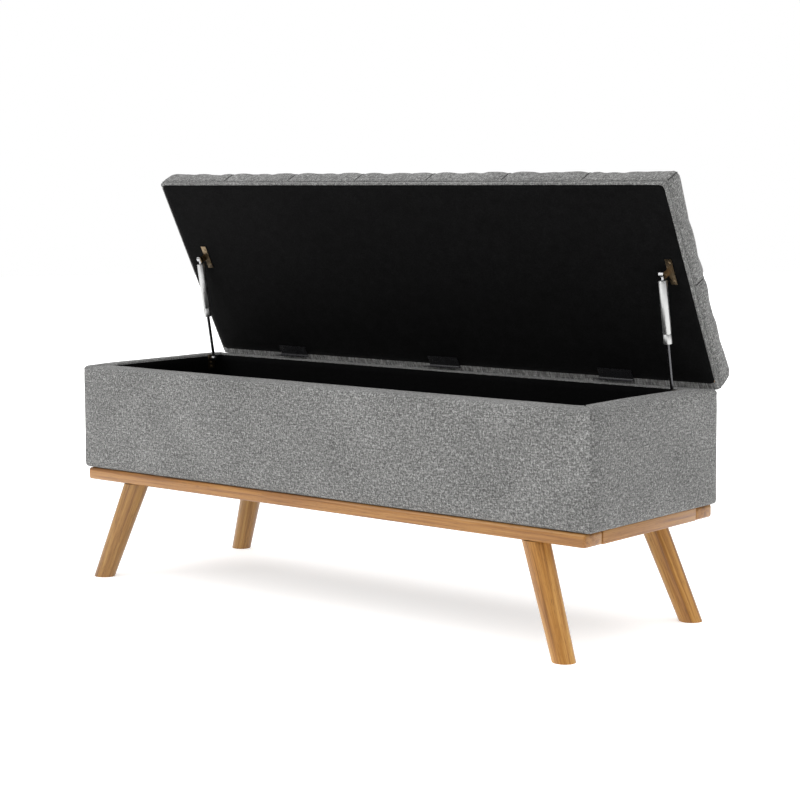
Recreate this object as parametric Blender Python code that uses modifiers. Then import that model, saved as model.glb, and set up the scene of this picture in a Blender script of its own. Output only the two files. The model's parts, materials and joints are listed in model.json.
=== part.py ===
"""Upholstered storage bench with a hinged, padded lid held by two gas struts.

Metres, +Z up. The front faces -Y, left is -X. The bench rests with its lid fully open.
Everything hangs on one empty, which stands the envelope's centre over the origin.
"""

import math

import bmesh
import bpy
from mathutils import Matrix, Vector

MM = 0.001

# Driving dimensions
LENGTH = 1200 * MM
DEPTH = 380 * MM
BASE_HEIGHT = 187 * MM  # floor to the underside of the rails
RAIL_HEIGHT = 23 * MM
BOX_TOP = 411 * MM
LID_THICKNESS = 50 * MM
OPEN_ANGLE = math.radians(63.7)
GAP = 0.3 * MM  # between pieces that touch

# Base
RAIL_WIDTH = 50 * MM
RAIL_INSET_X = 11 * MM
RAIL_INSET_Y = 1 * MM
LEG_TOP = Vector((476 * MM, 165 * MM, BASE_HEIGHT))
LEG_FOOT = Vector((549 * MM, 188.5 * MM, 0))
LEG_TOP_RADIUS = 23 * MM
LEG_FOOT_RADIUS = 19 * MM
LEG_OVERRUN = 40 * MM  # the cone runs past both ends before it is cut level
BOLT_RADIUS = 4 * MM
BOLT_LENGTH = 56 * MM
BOLT_INTO_RAIL = 18 * MM
BOLT_OFFSET = 5 * MM

# Box walls, from the outside in: padded cover, board, lining
BOX_BOTTOM = BASE_HEIGHT + RAIL_HEIGHT + GAP
COVER = 12 * MM
BOARD = 24.4 * MM
LINING = 3 * MM
WALL = COVER + GAP + BOARD + GAP + LINING
FLOOR_BOARD = 12 * MM
DUST_SHEET = 1.5 * MM
EDGE_RADIUS = 10 * MM

# Lid, measured from the hinge axis: y runs back to front, z up from the axis when it is closed
LID_GAP = 3.3 * MM  # room between rim and lid for the two hinge leaves
HINGE_Y = DEPTH / 2
HINGE_Z = BOX_TOP + LID_GAP / 2
LID_LENGTH = 1193 * MM
LID_DEPTH = 394.5 * MM
LID_BACK = 9.5 * MM  # behind the hinge axis
LID_UNDER = LID_GAP / 2
LID_MARGIN = 4 * MM  # fabric turned under the board
LID_REAR_MARGIN = 15 * MM  # the same behind the hinges' knuckles
LID_BOARD = 15 * MM
LID_LINING = 1 * MM
LID_EDGE_RADIUS = 6 * MM

# Hinges
HINGE_PLACES = {"left": -390 * MM, "middle": 0, "right": 390 * MM}
HINGE_WIDTH = 72 * MM
LEAF_REACH = 20 * MM
LEAF_THICKNESS = 1.1 * MM
KNUCKLE_RADIUS = 2.3 * MM
PIN_RADIUS = 1.1 * MM
PIN_BORE = 1.4 * MM
KNUCKLES = 5

# Gas struts
STRUT_X = 551 * MM
STRUT_TOP_REACH = 220 * MM  # hinge axis to the upper ball, along the lid
STRUT_TOP_DROP = 8.5 * MM  # the upper ball below the hinge axis with the lid closed
STRUT_FOOT = Vector((0, 120 * MM, 402 * MM))
TUBE_RADIUS = 7.5 * MM
TUBE_BORE = 6.5 * MM
TUBE_START = 10 * MM
TUBE_LENGTH = 109 * MM
TUBE_GROOVE = 17 * MM
GLAND_LENGTH = 15 * MM
ROD_RADIUS = 3 * MM
ROD_GUIDED = 24 * MM  # rod inside the tube at full reach
PISTON_LENGTH = 6 * MM
SOCKET_RADIUS = 5 * MM
SOCKET_WIDTH = 9 * MM
SOCKET_NECK = 2.6 * MM
BALL_RADIUS = 3 * MM
STUD_NECK = 1.7 * MM
BRACKET = 1.5 * MM
TAB_OFFSET = 6 * MM
TAB_WIDTH = 12 * MM
LID_PLATE_WIDTH = 13 * MM
LID_PLATE_REACH = 24 * MM  # to the front and to the rear of the stud
WALL_PLATE = (18 * MM, 29 * MM)
SCREW_HOLE = 1.8 * MM

GREY_FABRIC = ((0.235, 0.235, 0.228), 0.9, 0)
BLACK_CLOTH = ((0.008, 0.008, 0.009), 0.95, 0)
STAINED_WOOD = ((0.48, 0.26, 0.12), 0.35, 0)
PLYWOOD = ((0.62, 0.47, 0.30), 0.7, 0)
BLACK_STEEL = ((0.02, 0.02, 0.022), 0.4, 1)
SILVER_STEEL = ((0.62, 0.62, 0.60), 0.3, 1)
CHROME = ((0.75, 0.75, 0.75), 0.12, 1)
ZINC_STEEL = ((0.55, 0.42, 0.27), 0.35, 1)


def clear_scene():
    for obj in list(bpy.data.objects):
        bpy.data.objects.remove(obj, do_unlink=True)


def new_collection(name):
    made = bpy.data.collections.new(name)
    bpy.context.scene.collection.children.link(made)
    return made


def new_empty(name, location, parent=None, rotation_x=0.0):
    empty = bpy.data.objects.new(name, None)
    bench.objects.link(empty)
    empty.empty_display_size = 0.03
    empty.location = location
    empty.rotation_euler.x = rotation_x
    empty.parent = parent
    return empty


def principled(name, look):
    colour, roughness, metallic = look
    material = bpy.data.materials.new(name)
    material.use_nodes = True
    shader = material.node_tree.nodes["Principled BSDF"]
    shader.inputs["Base Color"].default_value = (*colour, 1)
    shader.inputs["Roughness"].default_value = roughness
    shader.inputs["Metallic"].default_value = metallic
    return material


def object_from(name, shape, look=None, parent=None, smooth=False):
    """A node made from a bmesh or, with no look, a cutter."""
    mesh = bpy.data.meshes.new(name)
    shape.to_mesh(mesh)
    shape.free()
    if smooth:
        mesh.shade_smooth()
        mesh.set_sharp_from_angle(angle=math.radians(35))
    obj = bpy.data.objects.new(name, mesh)
    (bench if look else cutters).objects.link(obj)
    if look:
        mesh.materials.append(principled(name, look))
    else:
        obj.hide_render = True
        obj.display_type = "WIRE"
    obj.parent = parent
    return obj


def box_shape(low, high):
    low, high = Vector(low), Vector(high)
    shape = bmesh.new()
    size = Matrix.Diagonal((*(high - low), 1))
    bmesh.ops.create_cube(shape, size=1, matrix=Matrix.Translation((low + high) / 2) @ size)
    return shape


def rod_shape(radius, start, end, segments=20):
    """A cylinder between two points."""
    start, end = Vector(start), Vector(end)
    along = end - start
    shape = bmesh.new()
    turned_to = along.to_track_quat("Z", "Y").to_matrix().to_4x4()
    bmesh.ops.create_cone(
        shape,
        cap_ends=True,
        segments=segments,
        radius1=radius,
        radius2=radius,
        depth=along.length,
        matrix=Matrix.Translation((start + end) / 2) @ turned_to,
    )
    return shape


def add_box(name, low, high, look, parent, bevel=0.0):
    obj = object_from(name, box_shape(low, high), look, parent)
    if bevel:
        add_bevel(obj, bevel, 3)
    return obj


def add_bevel(obj, width, segments):
    bevel = obj.modifiers.new("rounded_edges", "BEVEL")
    bevel.width = width
    bevel.segments = segments
    bevel.limit_method = "ANGLE"


def combine(obj, other, operation):
    step = obj.modifiers.new(operation.lower() + "_" + other.name, "BOOLEAN")
    step.operation = operation
    step.solver = "EXACT"
    step.object = other


def cut(obj, name, shape, parent):
    combine(obj, object_from(name + "_cutter", shape, parent=parent), "DIFFERENCE")


def join(obj, name, shape, parent):
    combine(obj, object_from(name + "_part", shape, parent=parent), "UNION")


def arc(centre, radius, start, end, steps):
    """Points on an arc, with angles in degrees."""
    angles = [math.radians(start + (end - start) * i / steps) for i in range(steps + 1)]
    return [(centre[0] + radius * math.cos(a), centre[1] + radius * math.sin(a)) for a in angles]


def add_turned(name, profile, look, parent, closed=False, steps=20):
    """A turned piece about local Z. The profile holds (radius, height) points, down the outer side."""
    shape = bmesh.new()
    points = [shape.verts.new((radius, 0, height)) for radius, height in profile]
    for first, second in zip(points, points[1:]):
        shape.edges.new((first, second))
    if closed:
        shape.edges.new((points[-1], points[0]))
    obj = object_from(name, shape, look, parent)
    screw = obj.modifiers.new("turned", "SCREW")
    screw.axis = "Z"
    screw.steps = steps
    screw.render_steps = steps
    screw.use_merge_vertices = True
    screw.merge_threshold = 0.00001
    return obj


def make_rails():
    """Long rails run the full length, and the short ones butt between them."""
    half_x = LENGTH / 2 - RAIL_INSET_X
    half_y = DEPTH / 2 - RAIL_INSET_Y
    low, high = BASE_HEIGHT, BASE_HEIGHT + RAIL_HEIGHT
    inner_x, inner_y = half_x - RAIL_WIDTH, half_y - RAIL_WIDTH
    wood, round_edge, soft_edge = STAINED_WOOD, 5 * MM, 2 * MM
    front = add_box("front_rail", (-half_x, -half_y, low), (half_x, -inner_y, high), wood, root, round_edge)
    rear = add_box("rear_rail", (-half_x, inner_y, low), (half_x, half_y, high), wood, root, round_edge)
    end_y = inner_y - GAP
    add_box("left_rail", (-half_x, -end_y, low), (-inner_x, end_y, high), wood, root, soft_edge)
    add_box("right_rail", (inner_x, -end_y, low), (half_x, end_y, high), wood, root, soft_edge)
    return {"front": front, "rear": rear}


def leg_shape():
    """A tapered round leg along a splayed axis, cut level at the rail and at the floor."""
    along = LEG_TOP - LEG_FOOT
    taper = (LEG_TOP_RADIUS - LEG_FOOT_RADIUS) / along.length
    direction = along.normalized()
    middle = (LEG_TOP + LEG_FOOT) / 2
    shape = bmesh.new()
    bmesh.ops.create_cone(
        shape,
        cap_ends=True,
        segments=40,
        radius1=LEG_FOOT_RADIUS - taper * LEG_OVERRUN,
        radius2=LEG_TOP_RADIUS + taper * LEG_OVERRUN,
        depth=along.length + 2 * LEG_OVERRUN,
        matrix=Matrix.Translation(middle) @ direction.to_track_quat("Z", "Y").to_matrix().to_4x4(),
    )
    for height, outward in ((0, -1), (BASE_HEIGHT - GAP, 1)):
        level = bmesh.ops.bisect_plane(
            shape,
            geom=shape.verts[:] + shape.edges[:] + shape.faces[:],
            plane_co=(0, 0, height),
            plane_no=(0, 0, outward),
            clear_outer=True,
        )
        rim = [item for item in level["geom_cut"] if isinstance(item, bmesh.types.BMEdge)]
        bmesh.ops.edgeloop_fill(shape, edges=rim)
    bmesh.ops.recalc_face_normals(shape, faces=shape.faces[:])
    return shape


def make_legs(rails):
    """Four legs, each on a hanger bolt that stands in the leg and in its rail."""
    for end, x_side in (("left", -1), ("right", 1)):
        for face, y_side in (("front", -1), ("rear", 1)):
            place = f"{face}_{end}"
            turned_to = Matrix.Diagonal((x_side, y_side, 1, 1))
            shape = leg_shape()
            shape.transform(turned_to)
            if x_side * y_side < 0:
                bmesh.ops.reverse_faces(shape, faces=shape.faces[:])
            leg = object_from(f"{place}_leg", shape, STAINED_WOOD, root, smooth=True)
            x = x_side * (LEG_TOP.x + BOLT_OFFSET)
            y = y_side * (LEG_TOP.y + BOLT_OFFSET / 3)
            top = BASE_HEIGHT + BOLT_INTO_RAIL
            bottom = top - BOLT_LENGTH
            bore = rod_shape(BOLT_RADIUS + GAP, (x, y, bottom - GAP), (x, y, top + GAP))
            drill = object_from(f"{place}_bolt_bore", bore, parent=root)
            combine(leg, drill, "DIFFERENCE")
            combine(rails[face], drill, "DIFFERENCE")
            bolt = rod_shape(BOLT_RADIUS, (x, y, bottom), (x, y, top))
            object_from(f"{place}_leg_bolt", bolt, ZINC_STEEL, root, smooth=True)


def cover_profile():
    """(depth from the outer face, height) round a padded cover that folds over the board's top edge."""
    low, high, r = BOX_BOTTOM, BOX_TOP, EDGE_RADIUS
    outline = arc((r, low + r), r, 270, 180, 4) + arc((r, high - r), r, 180, 90, 4)
    return outline + [(WALL, high), (WALL, high - COVER), (COVER, high - COVER), (COVER, low)]


def make_cover(name, half_length, half_across, turn):
    """One side of the upholstery, mitred to its neighbours and turned about Z to its place."""
    shape = bmesh.new()
    mitre = GAP * math.sqrt(0.5)
    outline = cover_profile()
    ends = []
    for side in (-1, 1):
        ends.append(
            [
                shape.verts.new((side * (half_length - depth - mitre), depth - half_across, height))
                for depth, height in outline
            ]
        )
        shape.faces.new(ends[-1])
    count = len(outline)
    for i in range(count):
        j = (i + 1) % count
        shape.faces.new((ends[0][i], ends[0][j], ends[1][j], ends[1][i]))
    bmesh.ops.recalc_face_normals(shape, faces=shape.faces[:])
    cover = object_from(name, shape, GREY_FABRIC, root)
    cover.rotation_euler.z = turn


def make_box():
    half_x, half_y = LENGTH / 2, DEPTH / 2
    make_cover("front_cover", half_x, half_y, 0)
    make_cover("right_cover", half_y, half_x, math.pi / 2)
    make_cover("rear_cover", half_x, half_y, math.pi)
    make_cover("left_cover", half_y, half_x, -math.pi / 2)

    board_x, board_y = half_x - COVER - GAP, half_y - COVER - GAP
    inner_x, inner_y = board_x - BOARD, board_y - BOARD
    low, high = BOX_BOTTOM, BOX_TOP - COVER - GAP
    end_y = inner_y - GAP
    add_box("front_panel", (-board_x, -board_y, low), (board_x, -inner_y, high), PLYWOOD, root)
    add_box("rear_panel", (-board_x, inner_y, low), (board_x, board_y, high), PLYWOOD, root)
    add_box("left_panel", (-board_x, -end_y, low), (-inner_x, end_y, high), PLYWOOD, root)
    add_box("right_panel", (inner_x, -end_y, low), (board_x, end_y, high), PLYWOOD, root)

    floor_x, floor_y, floor_top = inner_x - GAP, inner_y - GAP, low + FLOOR_BOARD
    add_box("bottom_panel", (-floor_x, -floor_y, low), (floor_x, floor_y, floor_top), PLYWOOD, root)
    sheet_x = half_x - RAIL_INSET_X - RAIL_WIDTH - GAP
    sheet_y = half_y - RAIL_INSET_Y - RAIL_WIDTH - GAP
    sheet_top = low - GAP
    sheet_low = sheet_top - DUST_SHEET
    add_box("dust_sheet", (-sheet_x, -sheet_y, sheet_low), (sheet_x, sheet_y, sheet_top), BLACK_CLOTH, root)
    make_lining(floor_x, floor_y, floor_top + GAP, high)


def make_lining(half_x, half_y, low, high):
    """A sewn black bag, open at the top, that covers the inner walls and the floor."""
    shape = box_shape((-half_x, -half_y, low), (half_x, half_y, high))
    top = max(shape.faces, key=lambda face: face.calc_center_median().z)
    bmesh.ops.delete(shape, geom=[top], context="FACES_ONLY")
    lining = object_from("box_lining", shape, BLACK_CLOTH, root)
    thicken = lining.modifiers.new("cloth", "SOLIDIFY")
    thicken.thickness = LINING
    thicken.offset = -1
    thicken.use_even_offset = True


def make_lid():
    """The lid in its closed attitude about the hinge axis, with its parent turned open."""
    half = LID_LENGTH / 2
    back, front = LID_BACK, LID_BACK - LID_DEPTH
    under, top = LID_UNDER, LID_UNDER + LID_THICKNESS
    cushion = add_box("lid_cushion", (-half, front, under), (half, back, top), GREY_FABRIC, lid)
    add_bevel(cushion, LID_EDGE_RADIUS, 3)
    inner_x = half - LID_MARGIN - GAP
    inner_back = back - LID_REAR_MARGIN - GAP
    inner_front = front + LID_MARGIN + GAP
    lining_top = under + LID_LINING
    board_low = lining_top + GAP
    board_top = board_low + LID_BOARD
    pocket = box_shape(
        (-inner_x - GAP, inner_front - GAP, under - 10 * MM),
        (inner_x + GAP, inner_back + GAP, board_top + GAP),
    )
    cut(cushion, "lid_pocket", pocket, lid)
    for place, x in HINGE_PLACES.items():
        reach = HINGE_WIDTH / 2 + GAP
        relief = rod_shape(KNUCKLE_RADIUS + GAP, (x - reach, 0, 0), (x + reach, 0, 0))
        cut(cushion, f"{place}_knuckle_relief", relief, lid)
    add_box("lid_lining", (-inner_x, inner_front, under), (inner_x, inner_back, lining_top), BLACK_CLOTH, lid)
    add_box("lid_board", (-inner_x, inner_front, board_low), (inner_x, inner_back, board_top), PLYWOOD, lid)


def make_leaf(name, x, direction, own, parent):
    """A hinge leaf about the axis: a plate above it (1) or below it (-1) with every other knuckle."""
    outer = direction * (LID_GAP / 2 - GAP)
    inner = outer - direction * LEAF_THICKNESS
    low, high = min(outer, inner), max(outer, inner)
    half = HINGE_WIDTH / 2
    setback = KNUCKLE_RADIUS + GAP
    leaf = add_box(name, (x - half, -LEAF_REACH, low), (x + half, -setback, high), BLACK_STEEL, parent)
    pitch = HINGE_WIDTH / KNUCKLES
    for i in own:
        start = x - half + i * pitch + (GAP / 2 if i else 0)
        end = x - half + (i + 1) * pitch - (GAP / 2 if i < KNUCKLES - 1 else 0)
        tongue = box_shape((start + GAP, -setback - MM, low), (end - GAP, -PIN_BORE - GAP, high))
        join(leaf, f"{name}_tongue_{i}", tongue, parent)
        join(leaf, f"{name}_knuckle_{i}", rod_shape(KNUCKLE_RADIUS, (start, 0, 0), (end, 0, 0)), parent)
    bore = rod_shape(PIN_BORE, (x - half - MM, 0, 0), (x + half + MM, 0, 0))
    cut(leaf, f"{name}_bore", bore, parent)
    for offset in (-0.36, 0, 0.36):
        hole_x = x + offset * HINGE_WIDTH
        hole_y = -0.6 * LEAF_REACH
        hole = rod_shape(SCREW_HOLE, (hole_x, hole_y, low - MM), (hole_x, hole_y, high + MM), 12)
        cut(leaf, f"{name}_screw_{offset}", hole, parent)


def make_hinges():
    for place, x in HINGE_PLACES.items():
        make_leaf(f"{place}_hinge_lid_leaf", x, 1, (1, 3), lid)
        make_leaf(f"{place}_hinge_box_leaf", x, -1, (0, 2, 4), hinge_line)
        half = HINGE_WIDTH / 2
        pin = rod_shape(PIN_RADIUS, (x - half, 0, 0), (x + half, 0, 0))
        object_from(f"{place}_hinge_pin", pin, CHROME, hinge_line, smooth=True)


def stud_profile(reach, ball):
    """A stud along +Z: rivet tail through the bracket, flange and neck, and the ball if there is one."""
    tail = [(STUD_NECK, 0), (STUD_NECK, -BRACKET - 2 * GAP), (0, -BRACKET - 2 * GAP)]
    flange = [(STUD_NECK, 1 * MM), (STUD_NECK + 1 * MM, 1 * MM), (STUD_NECK + 1 * MM, 0)]
    if not ball:
        return [(0, reach), (STUD_NECK, reach)] + flange + tail
    start = math.degrees(math.asin(STUD_NECK / BALL_RADIUS))
    head = arc((0, reach), BALL_RADIUS, 90, start - 90, 8)
    head[0] = (0, reach + BALL_RADIUS)
    return head + flange + tail


def make_socket(name, x, open_side, parent, height, neck_up):
    """The eye of a strut end: a short drum across the strut with a blind seat and a neck to the strut."""
    half = SOCKET_WIDTH / 2
    drum = rod_shape(SOCKET_RADIUS, (-half, 0, height), (half, 0, height))
    socket = object_from(name, drum, CHROME, parent, smooth=True)
    neck_end = height + neck_up * (TUBE_START - GAP)
    neck = rod_shape(SOCKET_NECK, (0, 0, height + neck_up * 3.5 * MM), (0, 0, neck_end))
    join(socket, name + "_neck", neck, parent)
    seat_end = -open_side * (BALL_RADIUS + GAP)
    seat = rod_shape(BALL_RADIUS + GAP, (seat_end, 0, height), (open_side * 2 * half, 0, height))
    cut(socket, name + "_seat", seat, parent)


def make_lid_bracket(side, x):
    """A plate under the lid with a tab, which carries the upper ball stud on its -X face."""
    centre = -STRUT_TOP_REACH
    low = LID_UNDER - GAP - BRACKET
    tab_x = x + TAB_OFFSET
    name = f"{side}_lid_bracket"
    bracket = add_box(
        name,
        (tab_x, centre - LID_PLATE_REACH, low),
        (tab_x + LID_PLATE_WIDTH, centre + LID_PLATE_REACH, low + BRACKET),
        ZINC_STEEL,
        lid,
    )
    drop = STRUT_TOP_DROP + TAB_WIDTH / 2 - MM
    tab = box_shape(
        (tab_x, centre - TAB_WIDTH / 2, -drop),
        (tab_x + BRACKET, centre + TAB_WIDTH / 2, low + BRACKET / 2),
    )
    join(bracket, name + "_tab", tab, lid)
    rivet_start = (tab_x - MM, centre, -STRUT_TOP_DROP)
    rivet_end = (tab_x + 3 * BRACKET, centre, -STRUT_TOP_DROP)
    cut(bracket, name + "_rivet", rod_shape(STUD_NECK + GAP, rivet_start, rivet_end), lid)
    hole_x = tab_x + 0.6 * LID_PLATE_WIDTH
    for y in (centre - 0.7 * LID_PLATE_REACH, centre + 0.7 * LID_PLATE_REACH):
        hole = rod_shape(SCREW_HOLE, (hole_x, y, low - MM), (hole_x, y, low + BRACKET + MM), 12)
        cut(bracket, f"{name}_screw_{y:.3f}", hole, lid)
    stud = add_turned(f"{side}_upper_ball_stud", stud_profile(TAB_OFFSET - GAP, True), CHROME, lid)
    stud.location = (tab_x - GAP, centre, -STRUT_TOP_DROP)
    stud.rotation_euler.y = -math.pi / 2


def make_wall_bracket(side, outward, x):
    """A plate on the box's inner side wall with the stud that the strut's lower socket turns beside."""
    face = outward * (LENGTH / 2 - WALL - GAP)
    inner = face - outward * BRACKET
    width, height = WALL_PLATE
    foot = STRUT_FOOT
    low = (min(face, inner), foot.y - width / 2, foot.z - height + 8 * MM)
    high = (max(face, inner), foot.y + width / 2, foot.z + 8 * MM)
    name = f"{side}_wall_bracket"
    bracket = add_box(name, low, high, ZINC_STEEL, root)
    inside, outside = face - outward * 3 * BRACKET, face + outward * MM
    rivet = rod_shape(STUD_NECK + GAP, (inside, foot.y, foot.z), (outside, foot.y, foot.z))
    cut(bracket, name + "_rivet", rivet, root)
    for z in (low[2] + 4 * MM, low[2] + 13 * MM):
        hole = rod_shape(SCREW_HOLE, (inside, foot.y, z), (outside, foot.y, z), 12)
        cut(bracket, f"{name}_screw_{z:.3f}", hole, root)
    seat = inner - outward * GAP
    reach = abs(seat - x) - SOCKET_WIDTH / 2 - GAP
    stud = add_turned(f"{side}_lower_stud", stud_profile(reach, False), CHROME, root)
    stud.location = (seat, foot.y, foot.z)
    stud.rotation_euler.y = -outward * math.pi / 2


def tube_profile():
    """The cylinder from its closed, necked top to its open, rolled foot, with the gland's groove."""
    top = -TUBE_START
    foot = top - TUBE_LENGTH
    groove = foot + TUBE_GROOVE
    r = TUBE_RADIUS
    outside = [(0, top), (r - 1.5 * MM, top), (r - 0.4 * MM, top - 0.5 * MM), (r, top - 1.6 * MM)]
    outside += [(r, groove + 1.2 * MM), (r - 0.6 * MM, groove), (r, groove - 1.2 * MM)]
    outside += [(r, foot + 1 * MM), (r - 0.3 * MM, foot + 0.2 * MM), (r - 0.7 * MM, foot)]
    return outside + [(TUBE_BORE, foot), (TUBE_BORE, top - 7 * MM), (0, top - 7 * MM)]


def ring_profile(inner, outer, low, high):
    return [(inner, high), (outer, high), (outer, low), (inner, low)]


def make_strut(side, outward):
    """A gas strut hung from its upper ball, its own -Z pointing at the foot on the wall."""
    x = outward * STRUT_X
    reach = lid_point(STRUT_TOP_REACH, STRUT_TOP_DROP)
    to_foot = STRUT_FOOT - reach
    length = to_foot.length
    pivot = new_empty(f"{side}_strut_pivot", (x, reach.y, reach.z), root, math.atan2(to_foot.y, -to_foot.z))
    foot = -TUBE_START - TUBE_LENGTH
    add_turned(f"{side}_strut_tube", tube_profile(), SILVER_STEEL, pivot)
    gland = ring_profile(ROD_RADIUS + GAP, TUBE_BORE - GAP, foot + 0.5 * MM, foot + GLAND_LENGTH)
    add_turned(f"{side}_strut_gland", gland, BLACK_STEEL, pivot, closed=True)
    rod_top = foot + ROD_GUIDED
    rod_foot = -length + TUBE_START
    rod = [(0, rod_top), (ROD_RADIUS, rod_top), (ROD_RADIUS, rod_foot), (0, rod_foot)]
    add_turned(f"{side}_strut_rod", rod, CHROME, pivot)
    piston = ring_profile(ROD_RADIUS + GAP, TUBE_BORE - GAP, rod_top - PISTON_LENGTH, rod_top)
    add_turned(f"{side}_strut_piston", piston, BLACK_STEEL, pivot, closed=True)
    make_socket(f"{side}_upper_socket", x, 1, pivot, 0, -1)
    make_socket(f"{side}_lower_socket", x, outward, pivot, -length, 1)
    make_lid_bracket(side, x)
    make_wall_bracket(side, outward, x)


def lid_point(along, drop):
    """A point on the open lid, in the box's frame: along it from the hinge axis, and off its underside."""
    turned = Matrix.Rotation(-OPEN_ANGLE, 3, "X") @ Vector((0, -along, -drop))
    return Vector((0, HINGE_Y, HINGE_Z)) + turned


def centre_envelope():
    """Slides the whole bench along Y until its envelope is centred on the origin."""
    bpy.context.view_layer.update()
    graph = bpy.context.evaluated_depsgraph_get()
    ys = []
    for obj in bench.objects:
        if obj.type == "MESH":
            solid = obj.evaluated_get(graph)
            mesh = solid.to_mesh()
            ys += [(solid.matrix_world @ v.co).y for v in mesh.vertices]
            solid.to_mesh_clear()
    root.location.y -= (min(ys) + max(ys)) / 2


clear_scene()
bench = new_collection("storage_bench")
cutters = new_collection("cutters")
cutters.hide_render = True
root = new_empty("bench_origin", (0, 0, 0))
hinge_line = new_empty("hinge_line", (0, HINGE_Y, HINGE_Z), root)
lid = new_empty("lid_pivot", (0, HINGE_Y, HINGE_Z), root, -OPEN_ANGLE)
make_legs(make_rails())
make_box()
make_lid()
make_hinges()
make_strut("left", -1)
make_strut("right", 1)
centre_envelope()
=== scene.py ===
"""Storage bench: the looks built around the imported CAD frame.

Metres, in the CAD's own frame: +Z up, the front faces -Y, and the lid rests open.
"""

import json
import math

import bmesh
import bpy
import numpy as np
from mathutils import Matrix, Vector, noise


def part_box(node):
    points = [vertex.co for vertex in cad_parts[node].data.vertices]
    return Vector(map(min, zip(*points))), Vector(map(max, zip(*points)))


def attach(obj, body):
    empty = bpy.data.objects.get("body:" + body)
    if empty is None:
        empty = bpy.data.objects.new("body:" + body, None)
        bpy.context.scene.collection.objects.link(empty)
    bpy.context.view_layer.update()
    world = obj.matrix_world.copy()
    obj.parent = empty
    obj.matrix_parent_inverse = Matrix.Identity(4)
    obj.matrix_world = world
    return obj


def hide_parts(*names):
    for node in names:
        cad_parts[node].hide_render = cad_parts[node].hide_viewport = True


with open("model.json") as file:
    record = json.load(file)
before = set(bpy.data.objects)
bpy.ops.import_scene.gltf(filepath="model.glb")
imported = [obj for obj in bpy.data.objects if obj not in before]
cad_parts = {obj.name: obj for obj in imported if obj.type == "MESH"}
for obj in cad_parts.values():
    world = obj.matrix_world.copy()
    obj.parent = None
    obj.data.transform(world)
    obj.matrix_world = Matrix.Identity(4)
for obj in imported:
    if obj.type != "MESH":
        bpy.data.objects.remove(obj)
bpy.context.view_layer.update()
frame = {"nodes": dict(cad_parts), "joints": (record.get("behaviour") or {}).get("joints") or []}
nodes = frame["nodes"]

MM = 0.001

# The lid's own frame starts at the hinge axis: x along the bench, y negative towards the lid's front edge,
# and z up when the lid is closed.
hinge = next(j for j in frame["joints"] if j["name"] == "lid_hinge")
OPEN_ANGLE = math.radians(hinge["range_deg"][1])
LID = Matrix.Translation(hinge["pos_m"]) @ Matrix.Rotation(-OPEN_ANGLE, 4, "X")


def lid_box(node):
    """Lowest and highest corner of a lid node in the lid's own frame."""
    back = LID.inverted()
    points = np.array([back @ v.co for v in nodes[node].data.vertices])
    return points.min(0), points.max(0)


# ---------------------------------------------------------------- node trees


class Tree:
    """A short way to write a material's node tree."""

    def __init__(self, name):
        self.material = bpy.data.materials.new(name)
        self.material.use_nodes = True
        self.tree = self.material.node_tree
        self.tree.nodes.clear()
        self.output = self.tree.nodes.new("ShaderNodeOutputMaterial")
        self.shader = self.tree.nodes.new("ShaderNodeBsdfPrincipled")
        self.tree.links.new(self.shader.outputs[0], self.output.inputs["Surface"])

    def put(self, socket, value):
        if isinstance(value, bpy.types.NodeSocket):
            self.tree.links.new(value, socket)
        elif value is not None:
            socket.default_value = value

    def node(self, kind, *values, out=0, **settings):
        made = self.tree.nodes.new(kind)
        named = {k: v for k, v in settings.items() if k[0].isupper()}
        for key, value in settings.items():
            if key not in named:
                setattr(made, key, value)
        for i, value in enumerate(values):
            self.put(made.inputs[i], value)
        for key, value in named.items():
            self.put(made.inputs[key.replace("_", " ")], value)
        return made.outputs[out]

    def math(self, operation, *values, clamp=False):
        return self.node("ShaderNodeMath", *values, operation=operation, use_clamp=clamp)

    def vector(self, operation, *values, out=0):
        return self.node("ShaderNodeVectorMath", *values, operation=operation, out=out)

    def scaled(self, vector, scale):
        return self.vector("MULTIPLY", vector, scale)

    def noise(self, vector, scale=1.0, detail=2.0, roughness=0.5, dimensions="3D"):
        made = self.tree.nodes.new("ShaderNodeTexNoise")
        made.noise_dimensions = dimensions
        self.put(made.inputs["Vector"], vector)
        made.inputs["Scale"].default_value = scale
        made.inputs["Detail"].default_value = detail
        made.inputs["Roughness"].default_value = roughness
        return made.outputs["Fac"]

    def spread(self, value, low, high, to_low=0.0, to_high=1.0, smooth=False):
        made = self.tree.nodes.new("ShaderNodeMapRange")
        made.interpolation_type = "SMOOTHSTEP" if smooth else "LINEAR"
        for i, item in enumerate((value, low, high, to_low, to_high)):
            self.put(made.inputs[i], item)
        return made.outputs[0]

    def mix(self, factor, first, second, blend="MIX"):
        made = self.tree.nodes.new("ShaderNodeMix")
        made.data_type = "RGBA"
        made.blend_type = blend
        self.put(made.inputs[0], factor)
        self.put(made.inputs[6], first)
        self.put(made.inputs[7], second)
        return made.outputs[2]

    def bump(self, height, distance, strength=1.0, normal=None):
        made = self.tree.nodes.new("ShaderNodeBump")
        made.inputs["Strength"].default_value = strength
        made.inputs["Distance"].default_value = distance
        self.put(made.inputs["Height"], height)
        self.put(made.inputs["Normal"], normal)
        return made.outputs[0]

    def finish(self, colour, roughness, normal=None, **values):
        self.put(self.shader.inputs["Base Color"], colour)
        self.put(self.shader.inputs["Roughness"], roughness)
        self.put(self.shader.inputs["Normal"], normal)
        for key, value in values.items():
            self.put(self.shader.inputs[key.replace("_", " ")], value)
        return self.material


def rgba(r, g, b):
    return (r, g, b, 1.0)


# ---------------------------------------------------------------- materials


# Noise scales of the linen, per metre of cloth or per yarn.
YARN_APART = 3.17
YARN_RUN = 55
SLUB_ACROSS = 360
SLUB_ALONG = 120


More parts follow.
